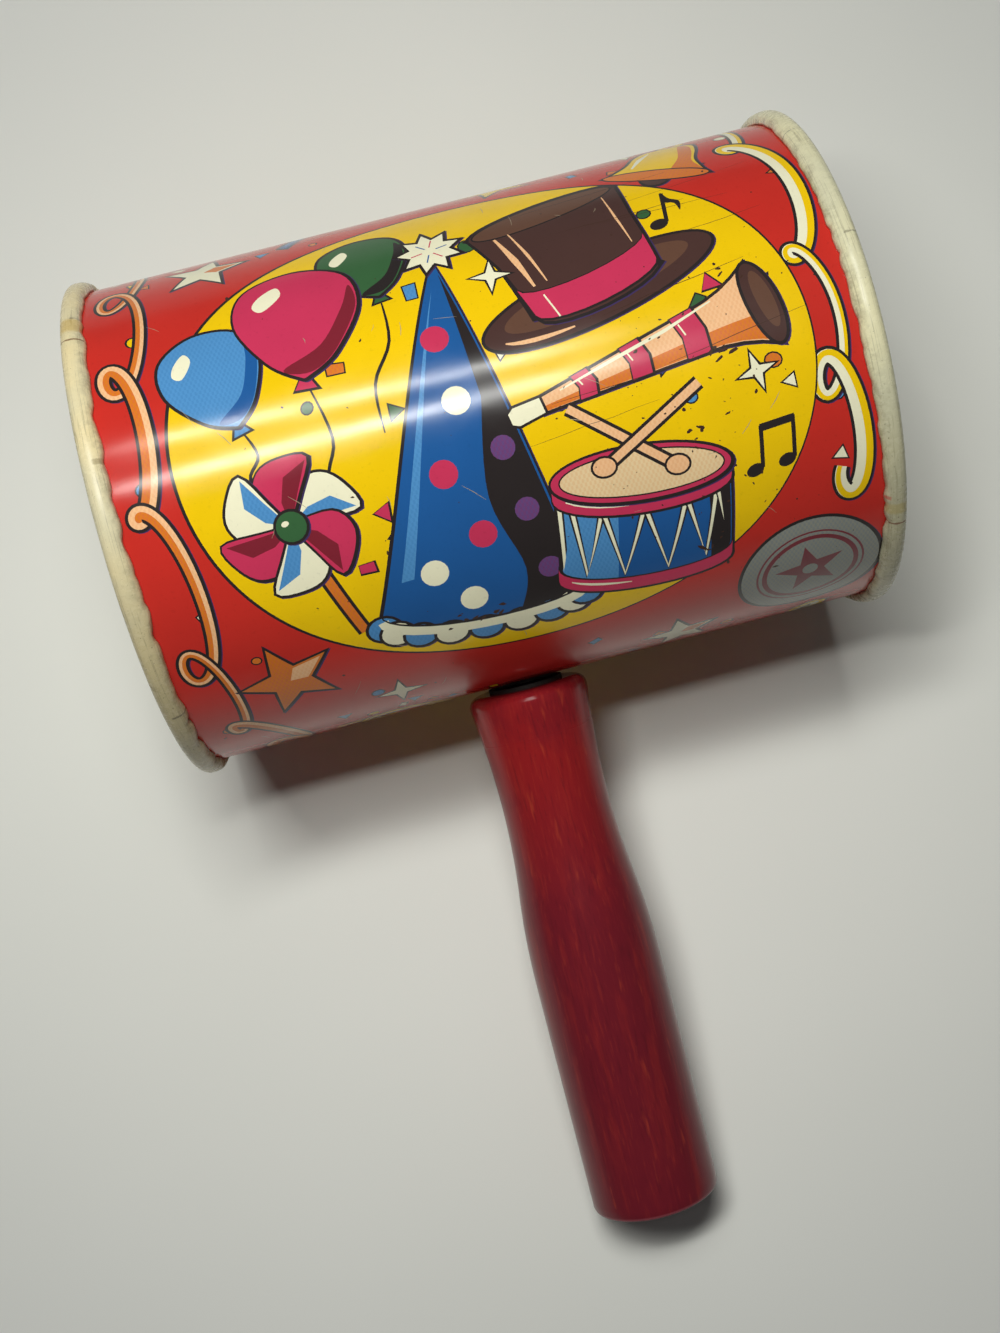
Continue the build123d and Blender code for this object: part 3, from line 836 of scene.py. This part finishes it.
# ---- pressed caps and the turned handle ----
RECESS = 3.0
RECESS_RADIUS = 33.85
RING_RADIUS = 26.0
RING_WIDTH = 5.0
RING_HEIGHT = 0.8
BEAD_WIDTH = 3.2
HEM_RADIUS = 34.55
CURL = (BEAD_RADIUS - RECESS_RADIUS) / 2  # radius of the curl at the rim's end
CROWN_X, HEM_X = CAN_END - CURL, CAN_END - BEAD_WIDTH
CAP_TURNS = 300  # steps round a cap
PUCKER_FADE = 2.718  # how fast a pucker fades to its sides


def bent(start, corner, end, t):
    """A point on the curve from start to end that leaves and arrives along the lines to the corner."""
    return start * (1 - t) ** 2 + corner * 2 * t * (1 - t) + end * t * t


def softened(points, reach, steps=4):
    """A run of straight lines with its inner corners rounded."""
    line = [points[0]]
    for corners in zip(points, points[1:], points[2:]):
        a, b, c = map(Vector, corners)
        start = b + (a - b).normalized() * min(reach, (a - b).length / 2)
        end = b + (c - b).normalized() * min(reach, (c - b).length / 2)
        line += [tuple(bent(start, b, end, k / steps)) for k in range(steps + 1)]
    return line + [points[-1]]


def lathe(name, section, turns, spot):
    """A closed section turned round an axis; spot(x, radius, turn, k) says where its points go.

    A section point on the axis becomes one shared point."""
    points, rows, faces = [], [], []
    for k, (x, radius) in enumerate(section):
        count = turns if radius > 1e-6 else 1
        rows.append([len(points) + j % count for j in range(turns)])
        points += [spot(x, radius, 2 * pi * j / turns, k) for j in range(count)]
    for one, two in around(rows):
        for (a, b), (d, c) in zip(around(one), around(two)):
            corners = [a, b, c, d]
            face = [corner for n, corner in enumerate(corners) if corner != corners[n - 1]]
            if len(face) > 2:
                faces.append(face)
    mesh = new_mesh(name, points, faces)
    mend(mesh, lambda work: bmesh.ops.recalc_face_normals(work, faces=work.faces))
    return mesh


def cap_section():
    """The cap's section from its middle over the rim to the hem, and back inside."""
    flat = CAN_END - RECESS
    crest = flat + RING_HEIGHT
    low, high = RING_RADIUS - RING_WIDTH / 2, RING_RADIUS + RING_WIDTH / 2
    face = [(flat, 0), (flat, 8), (flat, 16), (flat, low), (crest, low + RING_HEIGHT),
            (crest, high - RING_HEIGHT), (flat, high), (flat, RECESS_RADIUS), (CROWN_X, RECESS_RADIUS)]
    bead = [(CROWN_X + CURL * sin(t), RECESS_RADIUS + CURL - CURL * cos(t))
            for t in (pi * k / 12 for k in range(13))]
    side = [(bent(CROWN_X, HEM_X, HEM_X, t), bent(BEAD_RADIUS, BEAD_RADIUS, HEM_RADIUS, t))
            for t in (k / 9 for k in range(1, 10))]
    back = [(HEM_X + TIN, HEM_RADIUS), (HEM_X + 2 * TIN, BEAD_RADIUS - 2 * TIN), (CROWN_X, BEAD_RADIUS - TIN),
            (CAN_END - TIN, BEAD_RADIUS - CURL), (CROWN_X, RECESS_RADIUS + TIN),
            (flat - TIN, RECESS_RADIUS + TIN), (flat - TIN, high + 0.1), (crest - TIN, high - RING_HEIGHT + 0.1),
            (crest - TIN, low + RING_HEIGHT - 0.1), (flat - TIN, low - 0.1), (flat - TIN, 0)]
    return softened(face, 0.55)[:-1] + bead + side, back


def hem_wave(rng):
    """How far the hem is drawn up at each angle: long waves, with a short pucker here and there."""
    puckers, turn = [], 0
    while turn < 2 * pi - 0.1:
        puckers.append((turn, rng.uniform(0.1, 0.6), rng.uniform(0.012, 0.034)))
        turn += rng.uniform(0.06, 0.22)
    waves = [(rng.uniform(0.05, 0.14), count, rng.uniform(0, 2 * pi)) for count in (3, 7, 12, 23, 41)]

    def drawn(turn):
        total = sum(size * sin(count * turn + phase) for size, count, phase in waves)
        for middle, size, half in puckers:
            off = abs((turn - middle + pi) % (2 * pi) - pi) / half
            if off < 3:
                total += size * PUCKER_FADE ** (-off * off)
        return total
    return drawn


def make_cap(name, side, seed):
    """A pressed cap with a puckered hem; side is -1 on the left."""
    outside, inside = cap_section()
    rng = Random(seed)
    drawn = hem_wave(rng)
    dents = [(rng.uniform(0.01, 0.03), count, rng.uniform(0, 2 * pi)) for count in (2, 5, 9, 14)]
    last = len(outside)

    def spot(x, radius, turn, k):
        if radius > HEM_RADIUS - 0.01 and k < last + 1:
            near = min(max((CROWN_X - x) / (CROWN_X - HEM_X), 0), 1)
            x += near ** 2 * (0.15 + 0.72 * drawn(turn)) * (0.9 if k < last else 0.8)
        if radius > RECESS_RADIUS - 0.01 and k < last:
            swell = min((radius - RECESS_RADIUS) / 1.2, 1)
            radius -= swell * (0.01 + sum(size * (0.5 + 0.5 * sin(count * turn + phase))
                    for size, count, phase in dents))
            radius = max(radius, HEM_RADIUS) if x < CROWN_X and swell > 0.5 else radius
        return CAN_MIDDLE + Vector((side * x, radius * sin(turn), radius * cos(turn)))

    mesh = lathe(name, outside + inside, CAP_TURNS, spot)
    offs = [vertex.co / MM - CAN_MIDDLE for vertex in mesh.vertices]
    # each point's way round the rim, its distance from the rim's end and its radius
    keep(mesh, "round_rim", [(atan2(off.y, off.z) * BEAD_RADIUS, CAN_END - side * off.x, hypot(off.y, off.z))
            for off in offs])
    return mesh


HEAD_RADIUS = 8.85
HEAD_ROUND = 2.4
WAIST_RADIUS = 7.9
WAIST_DROP = 17.0
GRIP_RADIUS = 9.6
GRIP_DROP = 44.0
HANDLE_LENGTH = 79.98
HANDLE_DROP = 35.4  # from the can's middle to the handle's top
HANDLE_TOP = CAN_MIDDLE + ALONG * SPINDLE_X - SPINDLE * HANDLE_DROP
BUTT_CHAMFER = 0.4
NAIL_RADIUS = 1.6
NAIL_GRIP = 32.0
NAIL_POINT = 4.0


def handle_radius(drop):
    """The handle's radius at a drop below its top: one arc in the neck and an S down to the grip."""
    if drop > GRIP_DROP:
        return GRIP_RADIUS
    rise, run = (GRIP_RADIUS - WAIST_RADIUS) / 2, (GRIP_DROP - WAIST_DROP) / 2
    if drop < WAIST_DROP:
        rise, run = HEAD_RADIUS - WAIST_RADIUS, WAIST_DROP - HEAD_ROUND
    bow = (run * run + rise * rise) / (2 * rise)
    if drop < WAIST_DROP + run:
        return WAIST_RADIUS + bow - sqrt(bow * bow - (drop - WAIST_DROP) ** 2)
    return GRIP_RADIUS - bow + sqrt(bow * bow - (GRIP_DROP - drop) ** 2)


def make_handle():
    """The turned handle, with the hole that the nail fills."""
    section = [(NAIL_GRIP, 0), (NAIL_GRIP - NAIL_POINT, NAIL_RADIUS), (0, NAIL_RADIUS)]
    shoulder = handle_radius(HEAD_ROUND)
    corner = 2 * shoulder - handle_radius(2 * HEAD_ROUND)
    for t in (k / 10 for k in range(11)):
        section.append((HEAD_ROUND * t * t, bent(corner - HEAD_ROUND, corner, shoulder, t)))
    steps = 60
    for k in range(1, steps + 1):
        drop = HEAD_ROUND + (HANDLE_LENGTH - BUTT_CHAMFER - HEAD_ROUND) * k / steps
        section.append((drop, handle_radius(drop)))
    section += [(HANDLE_LENGTH - 0.12, GRIP_RADIUS - 0.12), (HANDLE_LENGTH, GRIP_RADIUS - BUTT_CHAMFER)]
    section += [(HANDLE_LENGTH, GRIP_RADIUS * share) for share in (0.9, 0.7, 0.45, 0.2, 0)]

    def spot(x, radius, turn, k):
        return HANDLE_TOP - SPINDLE * x + (ALONG * cos(turn) + ACROSS * sin(turn)) * radius

    mesh = lathe("turned_handle", section, 120, spot)
    offs = [vertex.co / MM - HANDLE_TOP for vertex in mesh.vertices]
    # each point's place in the handle's own axes, with z along the handle
    keep(mesh, "along", [(off.dot(ALONG), off.dot(ACROSS), -off.dot(SPINDLE)) for off in offs])
    return mesh


# Marks across the rims: angle from the top towards the far side, half width, colour, strength,
# and how far from the rim's end each starts and stops.
RIM_MARKS = {
    -1: [(0.62, 1.9, rgb(196, 160, 64), 0.55, -1, 9), (0.53, 0.15, rgb(112, 70, 40), 0.8, -1, 9),
        (0.665, 0.22, rgb(60, 48, 40), 0.5, 1.4, 9), (-1.02, 0.2, rgb(70, 60, 48), 0.6, 1, 9),
        (0, 0.5, rgb(112, 92, 56), 0.4, 1.6, 9), (2.2, 0.3, rgb(80, 66, 50), 0.5, -1, 9)],
    1: [(-0.98, 0.15, rgb(120, 74, 50), 0.8, -1, 9), (-0.91, 1.1, rgb(176, 158, 92), 0.5, -1, 9),
        (-0.86, 0.35, rgb(190, 64, 56), 0.6, 2.2, 9), (0.72, 0.12, rgb(96, 92, 78), 0.7, 1.2, 9),
        (0.14, 0.12, rgb(96, 92, 78), 0.5, -1, 2), (-2.6, 0.25, rgb(80, 66, 50), 0.6, -1, 9)],
}


def rim_enamel(name, side, warm, cool):
    """Ivory enamel that has yellowed, with dirt in the hem, painted shade with some dirt towards the handle's
    side, specks, scratches and marks across.
    """
    paint = Shader(name, warm, 0.32)
    place = paint.place()
    way_round, from_end, radius = paint.axes(paint.place("round_rim"))
    rim = paint.step(radius, RECESS_RADIUS - 0.3, RECESS_RADIUS + 0.1)
    on_rim = paint.times(rim, paint.step(paint.math("ABSOLUTE", way_round), 109, 100))
    cloud, fine = paint.noise(place, 0.05, 4), paint.noise(place, 0.9, 6, 0.65)
    paint.shade = paint.mix(paint.step(cloud, 0.38, 0.66), warm, cool)
    hem = paint.times(rim, paint.step(from_end, 1.5, 2.9))
    smear = paint.noise(place, 0.8, 6, 0.7)
    paint.stain(rgb(116, 104, 78), 0.32, paint.times(hem, paint.step(smear, 0.44, 0.62)))
    paint.stain(rgb(140, 126, 96), 0.15, paint.step(smear, 0.58, 0.72))
    # Greyer and darker towards the handle's side: painted shade with some dirt; the dark specks gather there
    # too.
    near = paint.times(paint.math("SUBTRACT", paint.axes(place)["Y"], CAN_MIDDLE.y), -0.98 / BEAD_RADIUS)
    lower_shade_and_dirt = paint.step(near, 0.1, 0.85)
    paint.stain(rgb(124, 119, 96), 0.45, lower_shade_and_dirt)
    speck = paint.math("ADD", paint.noise(place, 3, 4, 0.7), paint.times(lower_shade_and_dirt, 0.04))
    paint.stain(rgb(62, 48, 36), 0.8, paint.step(speck, 0.67, 0.71))
    for pull, share in (((0.08, 1.6, 1), 0.3), ((0.05, 3.4, 1), 0.35)):
        scratch = paint.times(paint.noise(paint.place("round_rim", pull), 2), on_rim)
        paint.stain(rgb(110, 98, 74), share, paint.step(scratch, 0.58, 0.68))
    scuff = paint.noise(paint.place(scale=(1, 0.3, 2.2)), 0.35, 5, 0.7)
    paint.stain(rgb(120, 110, 86), 0.25, paint.step(scuff, 0.6, 0.72))
    for angle, half, tint, share, start, stop in RIM_MARKS[side]:
        off = paint.math("ABSOLUTE", paint.math("SUBTRACT", way_round, angle * BEAD_RADIUS))
        mark = paint.step(paint.math("ADD", off, paint.between(fine, -0.35, 0.35)), half, half * 0.5)
        edge = paint.math("ADD", from_end, paint.between(fine, -0.5, 0.5))
        window = paint.times(paint.step(edge, start, start + 0.3), paint.step(edge, stop, stop - 0.3))
        paint.stain(tint, share, paint.times(mark, paint.times(window, rim)))
    return paint.finish(paint.between(fine, 0.16, 0.38), fine, 0.03, 0.3)


def stained_wood():
    """Red stain under varnish, with short grain streaks along the handle."""
    paint = Shader("stained_wood", rgb(122, 28, 34), 0.32, Coat_Weight=0.2, Coat_Roughness=0.08,
            Specular_IOR_Level=0.2)
    fine, broad, short = (paint.noise(paint.place("along", (1, 1, pull)), scale, detail, 0.6)
            for scale, pull, detail in ((2.6, 0.09, 4), (0.5, 0.12, 4), (0.8, 0.2, 2)))
    place = paint.place("along")
    cloud, drop = paint.noise(place, 0.06), paint.axes(place)["Z"]
    paint.shade = paint.mix(paint.step(drop, 2, 42), rgb(146, 28, 30), rgb(112, 26, 38))
    for value, low, high, share, tint in (
            (cloud, 0.42, 0.62, 0.45, (104, 22, 36)), (broad, 0.5, 0.7, 0.25, (166, 46, 38)),
            (fine, 0.54, 0.7, 0.17, (178, 62, 44)), (fine, 0.46, 0.32, 0.3, (76, 18, 28)),
            (short, 0.63, 0.8, 0.4, (186, 72, 46)),
            # a painted highlight along the butt's edge, and its dark end
            (drop, HANDLE_LENGTH - 0.65, HANDLE_LENGTH - 0.42, 0.4, (158, 92, 100)),
            (drop, HANDLE_LENGTH - 0.3, HANDLE_LENGTH - 0.05, 0.6, (64, 34, 34))):
        paint.stain(rgb(*tint), share, paint.step(value, low, high))
    head = paint.between(paint.step(drop, 3, 9), -0.16, 0)
    return paint.finish(paint.math("ADD", paint.between(cloud, 0.27, 0.35), head), fine, 0.02, 0.2)


def worn_metal(name, colour, tarnish, roughness, metallic=0.9, pull=(1, 1, 1)):
    """Bare metal with tarnish in patches and fine marks; pull stretches the marks."""
    paint = Shader(name, colour, roughness, Metallic=metallic)
    place = paint.place(scale=pull)
    cloud, fine = paint.noise(place, 0.3, 6, 0.65), paint.noise(place, 2.6, 4, 0.6)
    paint.stain(tarnish, 0.7, paint.step(cloud, 0.46, 0.7))
    paint.stain(tarnish, 0.5, paint.step(fine, 0.6, 0.72))
    rough = paint.between(cloud, roughness * 0.7, min(roughness * 1.6, 0.9))
    return paint.finish(rough, fine, 0.02, 0.3)


def pale_wood():
    """Unpainted hardwood for the cog, darkened in broad patches."""
    paint = Shader("plain_wood", rgb(196, 158, 108), 0.6)
    grain = paint.noise(paint.place(scale=(1, 0.12, 1)), 1.1, 5, 0.6)
    paint.shade = paint.mix(grain, rgb(164, 122, 76), rgb(214, 180, 132))
    paint.stain(rgb(92, 70, 48), 0.4, paint.step(paint.noise(paint.place(), 0.25), 0.5, 0.75))
    return paint.finish(paint.between(grain, 0.5, 0.75), grain, 0.04, 0.5)


def dress_inner_pieces():
    """Materials for the pieces that keep their CAD shape."""
    for material, *names in (
            (worn_metal("nail_steel", rgb(138, 134, 128), rgb(88, 70, 56), 0.38), "spindle", "wheel_pin"),
            # The washer and the eyelet are nearly black: painted shade for the gap between the handle and the
            # can.
            (worn_metal("washer_painted_shade", rgb(46, 44, 42), rgb(28, 25, 23), 0.6, 0.5), "thrust_washer"),
            (worn_metal("bare_tin", rgb(150, 148, 142), rgb(104, 92, 78), 0.42), "reed_bracket", "reed_rivets"),
            (worn_metal("eyelet_painted_shade", rgb(58, 54, 48), rgb(30, 27, 24), 0.6, 0.6), "bearing_eyelet"),
            (worn_metal("spring_steel", rgb(92, 96, 104), rgb(58, 54, 56), 0.3, 1, (1, 0.1, 0.1)),
            "reed", "reed_root"),
            (pale_wood(), "ratchet_wheel")):
        for name in names:
            mesh = bpy.data.objects[name].data
            mesh.materials.clear()
            mesh.materials.append(material)


# ---- camera, table and light ----
CAMERA_FROM_CAN = Vector((-12.486, -67.10, 231.88))  # millimetres
CAMERA_RIGHT = Vector((0.9675, -0.2527, -0.0103))
CAMERA_UP = Vector((0.2513, 0.9560, 0.1517))
CAMERA_LENS, CAMERA_SENSOR = 44.325, 36
LAMP_COLOUR = (0.99, 1, 0.965)
BACKGROUND = rgb(196, 196, 191)  # what the camera sees far away
TABLE_HALF = 1.5  # metres
TABLE_LIGHT_POOL_MIDDLE = (0, 30, 0)  # the table's painted pool of light is brightest here, in millimetres
TABLE_LIGHT_POOL_FALLOFF = (60, 210)  # the painted light fades between these distances from there
TABLE_FADE = (165, 400)  # and becomes the background between these


def add_object(name, data):
    made = bpy.data.objects.new(name, data)
    bpy.context.scene.collection.objects.link(made)
    return made


def add_piece(name, mesh, material, body, slot, *nodes):
    if material:
        mesh.materials.append(material)
    piece = add_object(name, mesh)
    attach(piece, body)
    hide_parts(*nodes)


def add_camera():
    data = bpy.data.cameras.new("camera")
    data.lens, data.sensor_width, data.clip_start = CAMERA_LENS, CAMERA_SENSOR, 0.005
    camera = add_object("camera", data)
    right = CAMERA_RIGHT.normalized()
    back = right.cross(CAMERA_UP).normalized()
    turn = Matrix((right, back.cross(right), back)).transposed().to_4x4()
    camera.matrix_world = Matrix.Translation((CAN_MIDDLE + CAMERA_FROM_CAN) * MM) @ turn
    bpy.context.scene.camera = camera


def add_table():
    """A wide pale table top under the noisemaker, with a painted pool of light round it."""
    mesh = bpy.data.meshes.new("table")
    corners = [(x * TABLE_HALF, y * TABLE_HALF, 0) for x, y in ((-1, -1), (1, -1), (1, 1), (-1, 1))]
    mesh.from_pydata(corners, [], [(0, 1, 2, 3)])
    table = add_object("table", mesh)
    paint = Shader("table", rgb(226, 226, 219), 0.6)
    place = paint.place()
    shade = paint.mix(paint.noise(place, 0.012, 2), rgb(226, 226, 219), rgb(236, 236, 230))
    # Painted light: the table darkens away from a bright middle near the noisemaker.
    far = paint.node("VectorMath", {0: place, 1: TABLE_LIGHT_POOL_MIDDLE}, operation="DISTANCE")["Value"]
    shade = paint.mix(paint.step(far, *TABLE_LIGHT_POOL_FALLOFF), shade, rgb(209, 210, 207))
    paint.link(shade, "Principled BSDF", "Base Color")
    away = paint.times(paint.step(far, *TABLE_FADE), paint.node("LightPath")["Is Camera Ray"])
    top = paint.tree.nodes["Principled BSDF"].outputs["BSDF"]
    blend = paint.node("MixShader", {0: away, 1: top, 2: paint.node("Emission", {"Color": BACKGROUND})[0]})
    paint.link(blend[0], "Material Output", "Surface")
    mesh.materials.append(paint.material)


def add_lamp(name, at, towards, size, power, turn=0):
    """A rectangular lamp, turned by some degrees; at and towards are metres from the can's middle."""
    data = bpy.data.lights.new(name, "AREA")
    data.shape = "RECTANGLE"
    data.size, data.size_y = size
    data.energy = power
    data.color = LAMP_COLOUR
    lamp = add_object(name, data)
    lamp.location = CAN_MIDDLE * MM + Vector(at)
    aim = (Vector(towards) - Vector(at)).to_track_quat("-Z", "Y")
    lamp.rotation_euler = (aim @ Quaternion((0, 0, 1), radians(turn))).to_euler()
    return lamp


def add_lights():
    # two tubes make the streaks on the wall; the others light the rest and make the shadows
    for tube in (add_lamp("far_tube", (-0.03, 0.36, 1), (-0.03, 0, 0), (0.34, 0.045), 1.5, -20),
            add_lamp("near_tube", (-0.03, 0.09, 1), (-0.03, 0, 0), (0.34, 0.06), 2)):
        tube.visible_diffuse = False
    for lamp in (add_lamp("sharp", (-0.035, -0.015, 0.211), (-0.035, -0.015, 0), (0.05, 0.012), 0.1),
            add_lamp("soft", (-0.025, 0.012, 0.22), (-0.025, 0.012, 0), (0.07, 0.06), 0.13),
            add_lamp("far", (-0.11, 0.315, 1), (-0.02, 0, 0), (0.5, 0.13), 5.6)):
        lamp.visible_glossy = False


def add_world():
    """A dim room; the camera and mirrors see the pale background."""
    world = bpy.data.worlds.new("room")
    room = Nodes(world)
    dim = room.node("Background", {"Color": (0.95, 0.97, 1, 1), "Strength": 0.04})
    pale = room.node("Background", {"Color": BACKGROUND})
    light = room.node("LightPath")
    seen = light["Is Camera Ray"]
    for kind, share in (("Is Glossy Ray", 0.12), ("Is Transmission Ray", 1)):
        seen = room.node("Math", {0: light[kind], 1: share, 2: seen},
            operation="MULTIPLY_ADD", use_clamp=True)[0]
    room.link(room.node("MixShader", {0: seen, 1: dim[0], 2: pale[0]})[0], "World Output", "Surface")
    bpy.context.scene.world = world
    bpy.context.scene.view_settings.view_transform = "Standard"


draw_print()
wall = make_wall({name: ink(name, colour) for name, colour in INKS.items()})
add_piece("printed_wall", wall, None, "can", "printed_tin", "can_shell")
for word, side, seed, warm, cool in (("left", -1, 5, rgb(229, 212, 164), rgb(214, 206, 172)),
        ("right", 1, 8, rgb(225, 219, 180), rgb(210, 207, 176))):
    enamel = rim_enamel(word + "_enamel", side, warm, cool)
    add_piece(word + "_cap", make_cap(word + "_cap", side, seed), enamel, "can", "rim_enamel", word + "_end_cap")
add_piece("turned_handle", make_handle(), stained_wood(), "handle", "dyed_wood", "wood_handle")
dress_inner_pieces()
add_camera()
add_table()
add_lights()
add_world()
